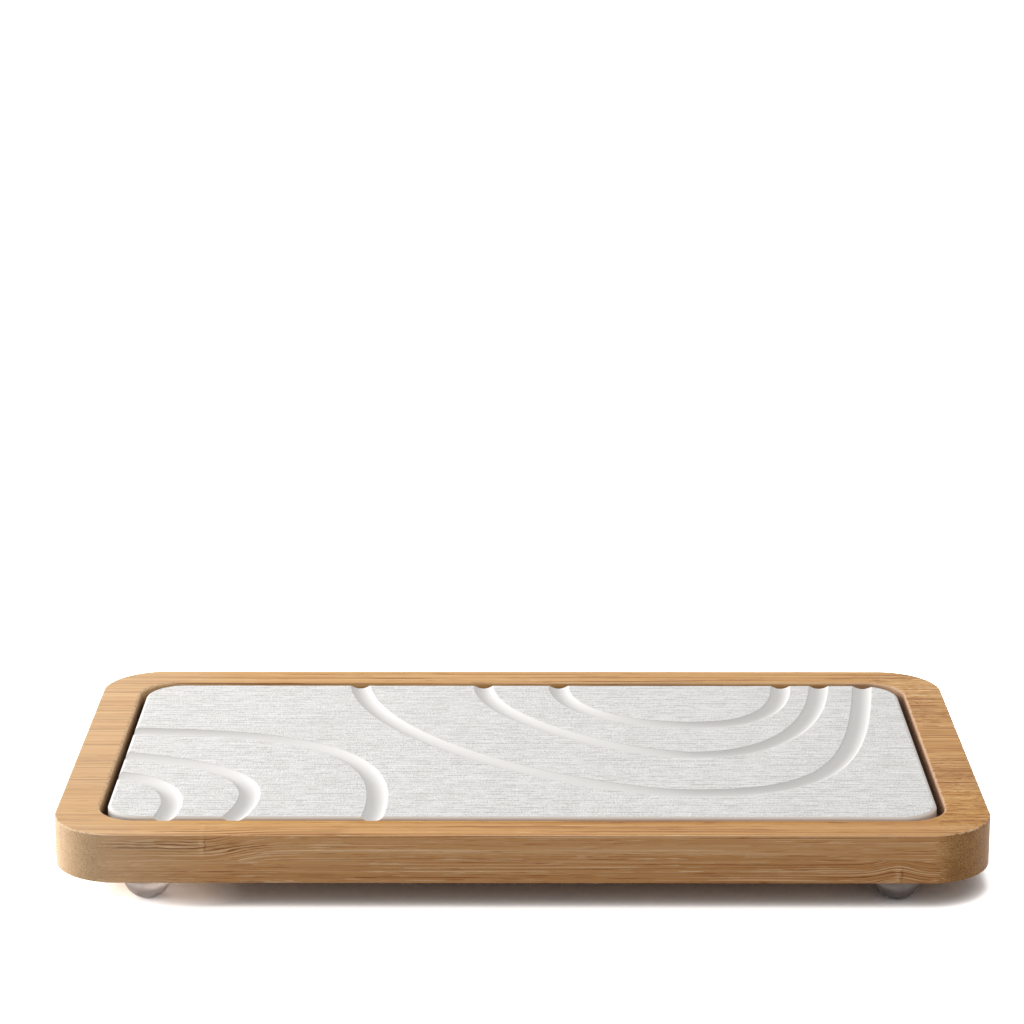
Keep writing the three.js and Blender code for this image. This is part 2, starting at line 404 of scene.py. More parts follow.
def carved_plate():
    """The stone plate: its carved face, welded to a stack of outlines up its rounded lower edge and its wall,
    and closed by a flat face below."""
    outline = rounded_outline(*PLATE_OUTLINE)
    lines = [carved_line(points) for points in CARVED_LINES]
    face_points, face_triangles = carved_face(outline, lines)
    turn = quarter_turn(EDGE_STEPS)
    foot = carried(outline, column(PLATE_SUPPORT), column(POCKET_FLOOR))
    edge_round = carried(
        outline, PLATE_EDGE * (1 - np.sin(turn)), POCKET_FLOOR + PLATE_EDGE * (1 - np.cos(turn))
    )
    wall = carried(outline, column(0), carved_height(outline[0], lines))
    rows = np.concatenate([foot, edge_round, wall])
    under_faces = [list(range(rows.shape[1]))[::-1]] + grid_faces(len(rows), rows.shape[1], False)
    under_points = rows.reshape(-1, 3)
    faces = under_faces + [[corner + len(under_points) for corner in face] for face in face_triangles]
    mesh = new_mesh("carved_stone_plate", np.concatenate([under_points, face_points]), faces)
    solid = bmesh.new()
    solid.from_mesh(mesh)
    bmesh.ops.remove_doubles(solid, verts=solid.verts, dist=WELD_TOLERANCE)
    solid.to_mesh(mesh)
    solid.free()
    return shown(mesh.name, mesh)


def turned(name, centre, radius, height):
    """A turned piece: a profile of radii and heights carried round a vertical axis, closed at both ends."""
    angle = np.linspace(0, 2 * np.pi, TURNED_SIDES, endpoint=False)
    circle = np.stack([np.cos(angle), np.sin(angle)], axis=1)
    plan = np.array(centre) + radius[:, None, None] * circle
    level = np.broadcast_to(height[:, None, None], plan.shape[:2] + (1,))
    rows = np.concatenate([plan, level], axis=-1)
    return shown(name, new_mesh(name, rows.reshape(-1, 3), capped_faces(len(rows), TURNED_SIDES)))


def box_middle(node):
    """Middle of a node's box, seen from above."""
    low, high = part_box(node)
    return (low.x + high.x) / 2, (low.y + high.y) / 2


def dome_foot(node):
    """A dome on its flat tip: a circle's arc from the tip out to the widest ring, then a small round up to
    the flat back that the adhesive holds."""
    low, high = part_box(node)
    dome = (high.x - low.x) / 2
    tip = math.asin((high.z - low.z) / dome)
    fall = np.linspace(tip, 0, DOME_STEPS)
    turn = np.linspace(0, np.pi / 2, EDGE_STEPS)
    dome_height = high.z - FOOT_RIM - (dome - FOOT_RIM) * np.sin(fall)
    dome_height[0] = low.z
    radius = np.concatenate([dome * np.cos(fall), dome - FOOT_RIM * (1 - np.cos(turn))])
    height = np.concatenate([dome_height, high.z - FOOT_RIM * (1 - np.sin(turn))])
    return turned("clear_" + node, box_middle(node), radius, height)


def adhesive_disc(node):
    """A thin disc with a small round on both rims."""
    low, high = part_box(node)
    disc = (high.x - low.x) / 2
    turn = np.linspace(0, np.pi / 2, EDGE_STEPS)
    lower = disc - ADHESIVE_RIM * (1 - np.sin(turn))
    radius = np.concatenate([lower, lower[::-1]])
    rise = ADHESIVE_RIM * (1 - np.cos(turn))
    height = np.concatenate([low.z + rise, high.z - rise[::-1]])
    return turned("film_" + node, box_middle(node), radius, height)


def paint(code):
    """Linear red, green, blue and alpha of a colour written as six hexadecimal digits, by the sRGB curve."""
    level = np.array([int(code[at:at + 2], 16) for at in (1, 3, 5)]) / 255
    linear = np.where(level > 0.04045, ((level + 0.055) / 1.055) ** 2.4, level / 12.92)
    return (*linear.tolist(), 1)


# Middle value of a noise, and the share of a contour line's width that is full
NOISE_MIDDLE = 0.5
CONTOUR_CORE = 0.3


class Finish:
    """A node material while it is drawn up: each method adds nodes and gives back their output. Lengths are
    in millimetres, and a noise's stretch is how often it changes per millimetre along X, Y and Z."""

    def __init__(self, name):
        self.material = bpy.data.materials.new(name)
        self.material.use_nodes = True
        self.tree = self.material.node_tree
        self.shader = self.tree.nodes["Principled BSDF"]

    def put(self, socket, value):
        if isinstance(value, bpy.types.NodeSocket):
            self.tree.links.new(value, socket)
        else:
            socket.default_value = value

    def add(self, kind, inputs, output=0, **settings):
        node = self.tree.nodes.new(kind)
        for key, value in settings.items():
            setattr(node, key, value)
        for key, value in inputs.items():
            self.put(node.inputs[key], value)
        return node.outputs[output]

    def shade(self, **inputs):
        """Sets the shader's own sockets; an underscore stands for a blank in a socket's name."""
        for key, value in inputs.items():
            self.put(self.shader.inputs[key.replace("_", " ")], value)

    def math(self, operation, *values):
        return self.add("ShaderNodeMath", dict(enumerate(values)), operation=operation)

    def times(self, first, second):
        return self.math("MULTIPLY", first, second)

    def minus(self, first, second):
        return self.math("SUBTRACT", first, second)

    def vector(self, operation, *values, output=0):
        return self.add("ShaderNodeVectorMath", dict(enumerate(values)), output, operation=operation)

    def millimetres(self):
        point = self.add("ShaderNodeTexCoord", {}, "Object")
        return self.vector("MULTIPLY", point, (1 / MM, 1 / MM, 1 / MM))

    def part_of(self, point, axis):
        return self.add("ShaderNodeSeparateXYZ", {0: point}, axis)

    def noise(self, point, stretch, detail=2, roughness=0.5, output="Fac"):
        inputs = {
            "Vector": self.vector("MULTIPLY", point, stretch),
            "Scale": 1,
            "Detail": detail,
            "Roughness": roughness,
        }
        return self.add("ShaderNodeTexNoise", inputs, output)

    def cells(self, point, stretch, output="Distance"):
        inputs = {"Vector": self.vector("MULTIPLY", point, stretch), "Scale": 1}
        return self.add("ShaderNodeTexVoronoi", inputs, output)

    def step(self, value, span, levels=(0, 1)):
        """Passes smoothly from one level to another while the value crosses the span."""
        inputs = dict(enumerate((value, *span, *levels)))
        return self.add("ShaderNodeMapRange", inputs, interpolation_type="SMOOTHSTEP")

    def bell(self, value, middle, spread):
        """One at the middle, falling off as the exponential of the squared distance over the spread."""
        off = self.math("DIVIDE", self.minus(value, middle), spread)
        return self.math("EXPONENT", self.times(self.times(off, off), -1))

    def contour(self, value, width):
        """Thin lines where a noise passes its middle value: one on the line, nought a width away from it."""
        off = self.math("ABSOLUTE", self.minus(value, NOISE_MIDDLE))
        return self.step(off, (width, width * CONTOUR_CORE))

    def weighted(self, *terms, base=0):
        """Sum of values times their weights, on top of a base."""
        total = base
        for value, weight in terms:
            total = self.math("MULTIPLY_ADD", value, weight, total)
        return total

    def inside(self, place, outline):
        """Distance inside an outline with round corners, negative outside it."""
        half_length, half_width, corner = (size / MM for size in outline)
        plan = self.vector("MULTIPLY", self.vector("ABSOLUTE", place), (1, 1, 0))
        past = self.vector("SUBTRACT", plan, (half_length - corner, half_width - corner, 0))
        outside = self.vector("LENGTH", self.vector("MAXIMUM", past, (0, 0, 0)), output="Value")
        nearer = self.math("MAXIMUM", self.part_of(past, "X"), self.part_of(past, "Y"))
        inner = self.math("MINIMUM", nearer, 0)
        return self.minus(self.minus(corner, outside), inner)

    def ramp(self, factor, stops):
        color = self.add("ShaderNodeValToRGB", {0: factor})
        elements = color.node.color_ramp.elements
        while len(elements) < len(stops):
            elements.new(0.5)
        for element, (place, code) in zip(elements, stops):
            element.position = place
            element.color = paint(code)
        return color

    def mix(self, factor, first, second, blend="MIX"):
        inputs = {0: factor, 6: first, 7: second}
        return self.add("ShaderNodeMix", inputs, 2, data_type="RGBA", blend_type=blend)

    def mix_values(self, factor, first, second):
        return self.add("ShaderNodeMix", {0: factor, 2: first, 3: second})

    def bump(self, height, depth, strength):
        inputs = {"Height": height, "Distance": depth, "Strength": strength}
        return self.add("ShaderNodeBump", inputs)


# Bamboo strips: lightness, where the curly right end of the upper face starts along X, other curly stretches
# from and to, knots that the fibres rise over, scars of deep lines in the front face, and a tint of the strip
Knot = namedtuple("Knot", "x z rise reach one_sided", defaults=(1.5, 9, False))
Scar = namedtuple("Scar", "x z half_length half_height depth", defaults=(1,))
Strip = namedtuple(
    "Strip", "lightness curly_end curls knots scars tint", defaults=(None, (), (), (), "#ffffff")
)
STRIPS = {
    "frame_strip_1": Strip(0.66, curly_end=103),
    "frame_strip_2": Strip(0.53, curly_end=103),
    "frame_strip_3": Strip(0.55),
    "frame_strip_4": Strip(0.51, curly_end=103),
    "frame_strip_5": Strip(0.47, curly_end=109, tint="#fffdea"),
    "frame_strip_6": Strip(
        0.55,
        curly_end=110,
        knots=[Knot(-84.3, 16.8, -3, 12, True)],
        scars=[Scar(-97, 16.8, 13, 1.5, 1.8), Scar(-74, 16.2, 10, 2.4, 0.7)],
    ),
    "base_strip_1": Strip(0.48, curls=[(47, 57)], knots=[Knot(52, 9.5)]),
    "base_strip_2": Strip(0.53),
    "base_strip_3": Strip(0.46),
    "base_strip_4": Strip(0.52),
    "base_strip_5": Strip(0.49, curls=[(-17, -7)], knots=[Knot(-12, 9.5)]),
    "base_strip_6": Strip(
        0.50,
        curls=[(-112, -100)],
        knots=[Knot(98.7, 8.8, 1.6, 5.5)],
        scars=[Scar(96, 9.5, 11, 2.4, 0.5)],
    ),
}

# Colours of the bamboo from dark to pale, and of its walls, ends, glue, edge wear with a painted highlight,
# painted sheen at the left end, and the painted shade and light of its pocket
BAMBOO_TONES = [
    (0.0, "#8c5930"),
    (0.28, "#b6804a"),
    (0.5, "#cd9b62"),
    (0.72, "#dbaf78"),
    (1.0, "#fadbae"),
]
WALL_TINT = "#fdf3f3"
CUT_END_TINT = "#eafaff"
CUT_END_SPECK = "#8d6541"
LEFT_END_PAINTED_SHEEN = "#dfbe9a"
GLUE = "#7d4a20"
WEAR_AND_HIGHLIGHT = "#f6dbb8"
POCKET_PAINTED_SHADE = "#2c1f19"
RIGHT_WALL_PAINTED_SHADE = "#6e5548"
RIGHT_WALL_PAINTED_LIGHT = "#c2a18b"

# How far each strip's grain is moved against the one before it, and the inset where flat face becomes wall
STRIP_SHIFT = (31.7, 17.3, 23.9)
WALL_INSET = (0.6, 0.3)

# Fibres: broad bands, long lines, and short flecks and long hairs that a noise draws where it passes a span.
# A mark shows more or less on flat faces and walls, and adds to the tone of an upper or a lower strip.
BANDS = (0.004, 0.4, 0.4)
BAND_TONE = 0.55
LINES = (0.006, 1.1, 2.6)
LINE_ROUGHNESS = 0.75
LINE_CONTRAST = (0.85, 0.5)
LINE_RELIEF = 0.6
WALL_TONE = 0.14
# Painted light: the tone falls along X, lighter near the lamp on the left and darker to the right
PAINTED_FALLOFF_ALONG = -0.0005
TONE_BASE = -0.32
FLECKS = (0.09, 2.2, 4.4)
HAIRS = (0.014, 1.5, 4.2)
Mark = namedtuple("Mark", "channel span by_face upper lower relief")
FIBRE_MARKS = {
    FLECKS: [
        Mark("X", (0.66, 0.71), by_face=(0.12, 1), upper=1.8, lower=0.6, relief=0.4),
        Mark("Y", (0.64, 0.70), by_face=(1, 1), upper=-0.4, lower=-0.4, relief=0),
    ],
    HAIRS: [
        Mark("X", (0.65, 0.70), by_face=(0.3, 1), upper=0.6, lower=1.2, relief=0),
        Mark("Y", (0.62, 0.68), by_face=(1, 0.35), upper=-1.1, lower=-1.1, relief=-0.5),
    ],
}

# Curly stretches: dark and pale strokes that a broader swirl sways
CURLY_END_FADE = (-4, 5)
CURLY_END_INSET = (0.1, 0.5)
CURL_FADE = 4
CURL_SHARE = 0.6
CURL_TONE = 0.04
SWIRL = (0.16, 0.35, 0.35)
SWAY = (0, 2.6, 2.6)
STROKES = (0.12, 1.1, 1.1)
Stroke = namedtuple("Stroke", "channel width tone relief")
CURL_STROKES = [Stroke("X", 0.055, -0.24, -0.6), Stroke("Y", 0.06, 0.18, 0.3)]

# Scars: furrows and the ridges between them, by the span of a sine that each fills
FURROW_PITCH = 0.9
FURROW_WAVER = (0.08, 0.4, 0.5)
FURROW_SWING = 2.2
FURROW_BREAKS = (0.09, 1.0, 1.4)
FURROW_BREAK_SPAN = (0.32, 0.46)
Wave = namedtuple("Wave", "span tone relief")
FURROW_WAVES = [Wave((0.35, 0.95), -0.7, -1.6), Wave((-0.35, -0.95), 0.25, 0.7)]

# Knots: the share of their rise that shows on flat faces, then a swollen pale band across the fibres and
# the dark crease beside it
KNOT_FLAT_RISE = 0.5
KNOT_WOBBLE = (0.3, 0.6, 0.6)
KNOT_SWING = 1.6
KNOT_HALF_HEIGHT = 2.2
Ring = namedtuple("Ring", "offset width tone relief")
KNOT_RINGS = [Ring(0.8, 0.8, 0.24, 0.6), Ring(1.9, 0.25, -0.34, -1.2)]

# Cut ends of the fibres: dots where the wall turns across the grain, by the wall's turn in radians
CUT_END_TURN = (0.03, 0.42)
CUT_END_LEAST = 0.01
STIPPLE = (2.0, 3.8, 3.8)
STIPPLE_TONE = 1.2
CUT_END_BAND_TONE = 0.3
# Painted shade: the cut ends darken along X, so the right corner's wall is darker, away from the lamp on the
# left
CUT_END_PAINTED_FALLOFF = -0.0014
CUT_END_TONE_BASE = -0.86
SPECK_SPAN = (0.46, 0.34)
SPECK_SHARE = (0, 0.35)

# Painted sheen of the lamp on the left: where the left end turns pale along X, and how much on its flat faces
# and walls
LEFT_SHEEN_ALONG = (-75, -124)
LEFT_SHEEN_SHARE = (0.45, 0.65)

# Glue: half the width of its lines, and how dark they are between strips and between plies
GLUE_LINE = 0.16
STRIP_GLUE = 0.25
PLY_GLUE = 0.15

# Wear and painted highlight of the upper edges: reach at the outer edge and at the pocket's mouth, ragged by
# chips near the ends, and fainter from right to left apart from the left corner
EDGE_WEAR_AND_HIGHLIGHT = 0.36
MOUTH_WEAR_AND_HIGHLIGHT = 0.6
WEAR_HIGHLIGHT_CORE = 0.7
WEAR_HIGHLIGHT_UPPER = (-0.25, 0)
CHIPS = (0.7, 0.9, 0.9)
CHIPPED_ENDS = (108, 116)
CHIPPING = (0.45, 2)
WEAR_HIGHLIGHT_ALONG = (-50, 20)
WEAR_HIGHLIGHT_SHARE = (0.12, 0.45)
LEFT_WEAR_HIGHLIGHT_ALONG = (-98, -112)
LEFT_WEAR_HIGHLIGHT_SHARE = (0, 0.5)

# Pocket: spans of its painted shade by the distance inside its mouth and below the rim, and the painted light
# on its right wall
POCKET_SHADE_SHARE = 0.8
WALL_SHADE_MOUTH = (-2, -1)
WALL_SHADE_BELOW = (0.8, 4.8)
FLOOR_SHADE_OUTER = (-1, 0)
FLOOR_SHADE_INNER = (9, 3)
FLOOR_SHADE_BELOW = (8, 7.2)
RIGHT_WALL = (80, 112)
LIT_WALL_MOUTH = (-0.75, -0.2)
LIT_WALL_SHARE = (0, 0.65)

# Gloss and relief of the bamboo
BAMBOO_ROUGHNESS = 0.62
LINE_GLOSS = -0.2
BAMBOO_SPECULAR = 0.12
BAMBOO_BUMP = 0.12 * MM
BAMBOO_BUMP_STRENGTH = 0.7


class BambooFinish(Finish):
    """Bamboo of one strip, with its fibres along X, drawn up layer by layer. Its tone runs through the
    bamboo's colours from dark to pale, and its relief is the height that the bump follows."""

    def __init__(self, name, order):
        super().__init__("bamboo_" + name)
        self.strip = STRIPS[name]
        self.upper = name.startswith("frame")
        self.place = self.millimetres()
        self.along = self.part_of(self.place, "X")
        self.across = self.part_of(self.place, "Y")
        self.level = self.part_of(self.place, "Z")
        self.below = self.minus(RIM / MM, self.level)
        self.edge = self.inside(self.place, TRAY_OUTLINE)
        self.mouth = self.inside(self.place, POCKET_OUTLINE)
        self.wall = self.by_face(0, 1)
        self.grain = self.vector("ADD", self.place, tuple(order * shift for shift in STRIP_SHIFT))

    def by_face(self, on_flat, on_wall):
        """One level on the flat faces that passes into another on the outer walls."""
        return self.step(self.edge, WALL_INSET, (on_flat, on_wall))

    def add_marks(self, tone, relief):
        """Adds marks, each with its weight, to the tone and to the relief."""
        self.tone = self.weighted(*tone, base=self.tone)
        self.relief = self.weighted(*relief, base=self.relief)

    def bend_over_knots(self):
        """Fibres rise over a knot by a bell of their distance from it along X, and to the left of a one-sided
        knot by its full rise. On the walls they move up, and on the flat faces sideways by a share of it."""
        rise = 0
        for knot in self.strip.knots:
            past = self.minus(self.along, knot.x)
            if knot.one_sided:
                past = self.math("MAXIMUM", past, 0)
            rise = self.math("MULTIPLY_ADD", self.bell(past, 0, knot.reach), -knot.rise, rise)
        up = self.times(rise, self.wall)
        sideways = self.times(self.minus(rise, up), KNOT_FLAT_RISE)
        bend = self.add("ShaderNodeCombineXYZ", {"Y": sideways, "Z": up})
        self.grain = self.vector("ADD", self.grain, bend)

    def draw_fibres(self):
        """Bands, lines, flecks and hairs: noise drawn out along X, in a tone that falls from left to right
        along the tray, a painted shade as the lamp on the left falls off.
        """
        self.bands = self.noise(self.grain, BANDS, detail=2)
        self.lines = self.noise(self.grain, LINES, detail=3, roughness=LINE_ROUGHNESS)
        drawn_lines = self.times(self.minus(self.lines, NOISE_MIDDLE), self.by_face(*LINE_CONTRAST))
        self.tone = self.weighted(
            (self.bands, BAND_TONE), (drawn_lines, 1), (self.wall, WALL_TONE), (self.along, PAINTED_FALLOFF_ALONG),
            base=self.strip.lightness + TONE_BASE,
        )
        self.relief = self.times(self.lines, LINE_RELIEF)
        for stretch, marks in FIBRE_MARKS.items():
            fibres = self.noise(self.grain, stretch, detail=1, output="Color")
            for mark in marks:
                drawn = self.step(self.part_of(fibres, mark.channel), mark.span)
                drawn = self.times(drawn, self.by_face(*mark.by_face))
                tone = mark.upper if self.upper else mark.lower
                self.add_marks([(drawn, tone)], [(drawn, mark.relief)])

    def curliness(self):
        """One at the curly right end of the upper face, a share in other curly stretches, else nought."""
        curl = 0
        if self.strip.curly_end:
            start, full = (self.strip.curly_end + fade for fade in CURLY_END_FADE)
            curl = self.times(self.step(self.along, (start, full)), self.step(self.edge, CURLY_END_INSET))
        for start, end in self.strip.curls:
            coming = self.step(self.along, (start - CURL_FADE, start + CURL_FADE))
            going = self.step(self.along, (end + CURL_FADE, end - CURL_FADE))
            curl = self.math("MULTIPLY_ADD", self.times(coming, going), CURL_SHARE, curl)
        return curl

    def draw_curls(self):
        """Dark and pale strokes: the contours of a noise drawn out along X and swayed by a broader swirl."""
        curl = self.curliness()
        swirl = self.noise(self.grain, SWIRL, detail=2, output="Color")
        sway = self.vector("MULTIPLY", self.vector("SUBTRACT", swirl, (NOISE_MIDDLE,) * 3), SWAY)
        strokes = self.noise(self.vector("ADD", self.grain, sway), STROKES, detail=1, output="Color")
        self.add_marks([(curl, CURL_TONE)], [])
        for stroke in CURL_STROKES:
            drawn = self.contour(self.part_of(strokes, stroke.channel), stroke.width)
            drawn = self.times(drawn, curl)
            self.add_marks([(drawn, stroke.tone)], [(drawn, stroke.relief)])

    def draw_scars(self):
        """Broken furrows with ridges between them: a sine of the wavering height, as deep as a bell along X
        times a bell along Z."""
        deep = 0
        for scar in self.strip.scars:
            length_bell = self.bell(self.along, scar.x, scar.half_length)
            height_bell = self.bell(self.level, scar.z, scar.half_height)
            deep = self.math("MULTIPLY_ADD", self.times(length_bell, height_bell), scar.depth, deep)
        breaks = self.noise(self.grain, FURROW_BREAKS, detail=1)
        deep = self.times(deep, self.step(breaks, FURROW_BREAK_SPAN))
        waver = self.noise(self.grain, FURROW_WAVER, detail=2)
        height = self.math("MULTIPLY_ADD", waver, FURROW_SWING, self.part_of(self.grain, "Z"))
        sine = self.math("SINE", self.times(height, 2 * math.pi / FURROW_PITCH))
        for wave in FURROW_WAVES:
            drawn = self.times(self.step(sine, wave.span), deep)
            self.add_marks([(drawn, wave.tone)], [(drawn, wave.relief)])

    def draw_knots(self):
        """Rings of each knot: bells of the wobbling distance along X, within a bell of the height."""
        for knot in self.strip.knots:
            wobble = self.noise(self.place, KNOT_WOBBLE, detail=1)
            line = self.math("MULTIPLY_ADD", wobble, KNOT_SWING, self.along)
            height = self.bell(self.level, knot.z, KNOT_HALF_HEIGHT)
            for ring in KNOT_RINGS:
                drawn = self.times(self.bell(line, knot.x + ring.offset, ring.width), height)
                self.add_marks([(drawn, ring.tone)], [(drawn, ring.relief)])

    def draw_cut_ends(self):
        """Dots take the fibres' place where the wall turns across them, by its turn round the corner."""
        turned_in = self.vector("ABSOLUTE", self.place)
        past_x = self.minus(self.part_of(turned_in, "X"), (HALF_LENGTH - TRAY_CORNER) / MM)
        past_y = self.minus(self.part_of(turned_in, "Y"), (HALF_WIDTH - TRAY_CORNER) / MM)
        past_x = self.math("MAXIMUM", past_x, 0)
        past_y = self.math("MAXIMUM", past_y, CUT_END_LEAST)
        turn = self.math("ARCTAN2", past_x, past_y)
        self.cut_ends = self.times(self.step(turn, CUT_END_TURN), self.wall)
        self.stipple = self.noise(self.grain, STIPPLE, detail=1)
        # The tone falls along X as painted shade, darker at the right corner
        tone = self.weighted(
            (self.stipple, STIPPLE_TONE), (self.bands, CUT_END_BAND_TONE), (self.along, CUT_END_PAINTED_FALLOFF),
            base=self.strip.lightness + CUT_END_TONE_BASE,
        )
        self.tone = self.mix_values(self.cut_ends, self.tone, tone)
        self.relief = self.mix_values(self.cut_ends, self.relief, self.stipple)

    def own_color(self):
        """Colour of the tone, tinted on the walls and cut ends, with painted sheen at the left end, specked
        where cut.
        """
        color = self.ramp(self.tone, BAMBOO_TONES)
        color = self.mix(1.0, color, paint(self.strip.tint), "MULTIPLY")
        color = self.mix(self.wall, color, paint(WALL_TINT), "MULTIPLY")
        color = self.mix(self.cut_ends, color, paint(CUT_END_TINT), "MULTIPLY")
        # Painted sheen: the left end turns pale where the lamp on the left lights it
        painted_sheen = self.times(self.step(self.along, LEFT_SHEEN_ALONG), self.by_face(*LEFT_SHEEN_SHARE))
        color = self.mix(painted_sheen, color, paint(LEFT_END_PAINTED_SHEEN))
        specks = self.times(self.step(self.stipple, SPECK_SPAN, SPECK_SHARE), self.cut_ends)
        return self.mix(specks, color, paint(CUT_END_SPECK))

    def with_glue(self, color, seams):
        """Dark lines at the strip's glued sides and, below an upper strip, between the plies."""
        dark = 0
        for seam in seams:
            dark = self.math("MULTIPLY_ADD", self.bell(self.across, seam, GLUE_LINE), STRIP_GLUE, dark)
        if self.upper:
            ply_line = self.bell(self.level, POCKET_FLOOR / MM, GLUE_LINE)
            dark = self.math("MULTIPLY_ADD", ply_line, PLY_GLUE, dark)
        return self.mix(dark, color, paint(GLUE))

    def with_wear_and_highlight(self, color):
        """Pale edges, partly wear and partly a painted highlight: within a ragged reach of the tray's upper
        edge and of the pocket's mouth.
        """
        # The pale edge line is partly real wear with chips and partly a painted highlight
        chips = self.minus(self.noise(self.place, CHIPS, detail=2), NOISE_MIDDLE)
        chipped = self.step(self.math("ABSOLUTE", self.along), CHIPPED_ENDS, CHIPPING)
        ragged = self.times(chips, chipped)
        fading = self.math(
            "MAXIMUM",
            self.step(self.along, WEAR_HIGHLIGHT_ALONG, WEAR_HIGHLIGHT_SHARE),
            self.step(self.along, LEFT_WEAR_HIGHLIGHT_ALONG, LEFT_WEAR_HIGHLIGHT_SHARE),
        )
        for inset, reach in ((self.edge, EDGE_WEAR_AND_HIGHLIGHT), (self.times(self.mouth, -1), MOUTH_WEAR_AND_HIGHLIGHT)):
            corner = self.add("ShaderNodeCombineXYZ", {"X": inset, "Y": self.below})
            away = self.math("ADD", self.vector("LENGTH", corner, output="Value"), ragged)
            upper = self.step(self.minus(inset, self.below), WEAR_HIGHLIGHT_UPPER)
            wear_and_highlight = self.times(self.step(away, (reach, reach * WEAR_HIGHLIGHT_CORE)), upper)
            color = self.mix(self.times(wear_and_highlight, fading), color, paint(WEAR_AND_HIGHLIGHT))
        return color

    def with_pocket_painted_shade_and_light(self, color):
        """Painted shade: the routed pocket is dark down its walls and on the floor beside them; its right
        wall has lighter painted shade and a pinkish painted light, where the lamp on the left falls.
        """
        # Painted shade darkens the pocket's walls and floor; the right wall gets lighter shade and a pinkish
        # painted light
        painted_shade = paint(POCKET_PAINTED_SHADE)
        if self.upper:
            right = self.step(self.along, RIGHT_WALL)
            lit_wall = self.times(self.step(self.mouth, LIT_WALL_MOUTH, LIT_WALL_SHARE), right)
            color = self.mix(lit_wall, color, paint(RIGHT_WALL_PAINTED_LIGHT))
            painted_shade = self.mix(right, painted_shade, paint(RIGHT_WALL_PAINTED_SHADE))
            near_wall = self.step(self.mouth, WALL_SHADE_MOUTH)
            low = self.step(self.below, WALL_SHADE_BELOW)
        else:
            near_wall = self.times(
                self.step(self.mouth, FLOOR_SHADE_OUTER), self.step(self.mouth, FLOOR_SHADE_INNER)
            )
            low = self.step(self.below, FLOOR_SHADE_BELOW)
        share = self.times(self.times(near_wall, low), POCKET_SHADE_SHARE)
        return self.mix(share, color, painted_shade)


def bamboo_finish(order, name, seams):
    """One strip's bamboo: its fibres, curls, scars, knots and cut ends, then its glue, its edge wear with a
    painted highlight, and the painted shade and light of its pocket.
    """
    finish = BambooFinish(name, order)
    strip = finish.strip
    if strip.knots:
        finish.bend_over_knots()
    finish.draw_fibres()
    if strip.curly_end or strip.curls:
        finish.draw_curls()
    if strip.scars:
        finish.draw_scars()
    finish.draw_knots()
    finish.draw_cut_ends()
    color = finish.with_glue(finish.own_color(), seams)
    color = finish.with_pocket_painted_shade_and_light(finish.with_wear_and_highlight(color))
    finish.shade(
        Base_Color=color,
        Roughness=finish.weighted((finish.lines, LINE_GLOSS), base=BAMBOO_ROUGHNESS),
        Specular_IOR_Level=BAMBOO_SPECULAR,
        Normal=finish.bump(finish.relief, BAMBOO_BUMP, BAMBOO_BUMP_STRENGTH),
    )
    return finish.material


# Brushing of the stone: wavering rows of scratches and crests, broken along X, with finer rows and pores
ROW_PITCH = 1.8
ROW_SWING = 1.8
ROW_WAVER = (0.012, 0.4, 0.3)
ROW_BREAKS = (0.2, 0.7, 0.3)
ROW_BREAK_SPAN = (0.42, 0.58)
ROW_SPAN = (0.4, 0.96)
SCRATCH_TONE = -0.3
CREST_TONE = 0.32
FINE_ROWS = (0.06, 2.4, 0.3)
FINE_ROW_TONE = 0.5
PORES = (2.6, 1.6, 2.0)
PORE_TONE = 0.6
BRUSHED_BASE = -0.11
BRUSHED_MIDDLE = 0.5

# Colours of the stone, its flat face by its level, and the painted warm shade and bounce light on the edge
# along the front
STONE_TONES = [(0.0, "#b8b5b1"), (0.5, "#e4e2df"), (0.85, "#f6f5f4")]
STONE_TONE_BASE = 0.46
FLAT_TONE = 0.08
FLAT_LEVEL = (RIM / MM - 0.09, RIM / MM - 0.03)
STONE_PAINTED_BOUNCE = "#f2e6db"
BOUNCE_INSET = (PLATE_EDGE / MM + 0.2, PLATE_EDGE / MM - 0.1)
BOUNCE_TURN = (0.99, 0.94)
BOUNCE_ALONG = (LEFT + 2, LEFT + 16)
BOUNCE_ACROSS = (FRONT + 20, FRONT + 2)
BOUNCE_SHARE = (0.35, 0.85)
STONE_ROUGHNESS = 0.9
STONE_IOR = 1.35
STONE_BUMP = 0.25 * MM
STONE_BUMP_STRENGTH = 0.9


def brushing(finish, place):
    """Height of the brushed face: a sine of the wavering Y gives scratches and its cosine crests, both broken
    along X; finer rows and pores are noise."""
    waver = finish.noise(place, ROW_WAVER, detail=1)
    breaks = finish.noise(place, ROW_BREAKS, detail=1, output="Color")
    phase = finish.math("MULTIPLY_ADD", waver, ROW_SWING, finish.part_of(place, "Y"))
    phase = finish.times(phase, 2 * math.pi / ROW_PITCH)
    height = finish.weighted(
        (finish.noise(place, FINE_ROWS, detail=1), FINE_ROW_TONE),
        (finish.noise(place, PORES, detail=0), PORE_TONE),
        base=BRUSHED_BASE,
    )
    for wave, channel, tone in (("SINE", "X", SCRATCH_TONE), ("COSINE", "Y", CREST_TONE)):
        row = finish.step(finish.math(wave, phase), ROW_SPAN)
        unbroken = finish.step(finish.part_of(breaks, channel), ROW_BREAK_SPAN)
        height = finish.weighted((finish.times(row, unbroken), tone), base=height)
    return height


